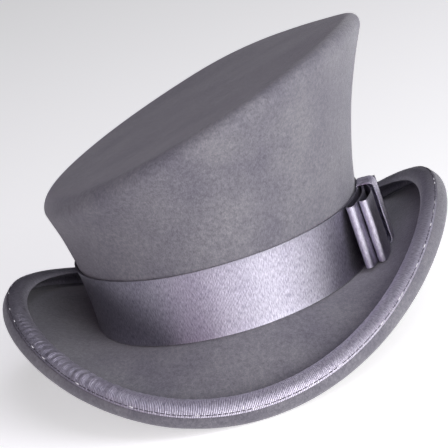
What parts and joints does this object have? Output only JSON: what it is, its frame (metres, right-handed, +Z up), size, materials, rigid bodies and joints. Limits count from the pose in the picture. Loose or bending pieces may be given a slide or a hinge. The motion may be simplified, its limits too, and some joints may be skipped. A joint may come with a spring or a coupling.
{
  "type": "top hat",
  "caption": "Felt top hat with a slanted bell crown, satin band and side bow, and a curled, ribbon-bound brim that dips front and back.",
  "frame": {"origin": "centre of the head oval, on the plane that the lowest points of the brim stand on", "axes": "+Z up out of the crown, -Y the way the wearer faces, +X to the wearer's left, where the bow is and the crown is tallest"},
  "size_m": [0.2928, 0.3224, 0.1909],
  "materials": {
    "felt": "matt wool felt",
    "satin": "satin ribbon",
    "grosgrain": "ribbed grosgrain ribbon",
    "thread": "twisted thread",
    "wire": "covered hat wire",
    "sweatband": "smooth sweatband leather",
    "reed": "plastic cord",
    "lining": "satin lining"
  },
  "bodies": {
    "root": {"felt_body": "felt", "hat_band": "satin", "bow_lower_loops": "satin", "bow_upper_loops": "satin", "bow_centre_wrap": "satin", "brim_binding": "grosgrain", "binding_stitching": "thread", "brim_wire": "wire", "sweatband": "sweatband", "sweatband_reed": "reed", "sweatband_stitching": "thread", "sweatband_bow": "satin", "lining_side": "lining", "lining_tip": "lining"}
  },
  "joints": []
}
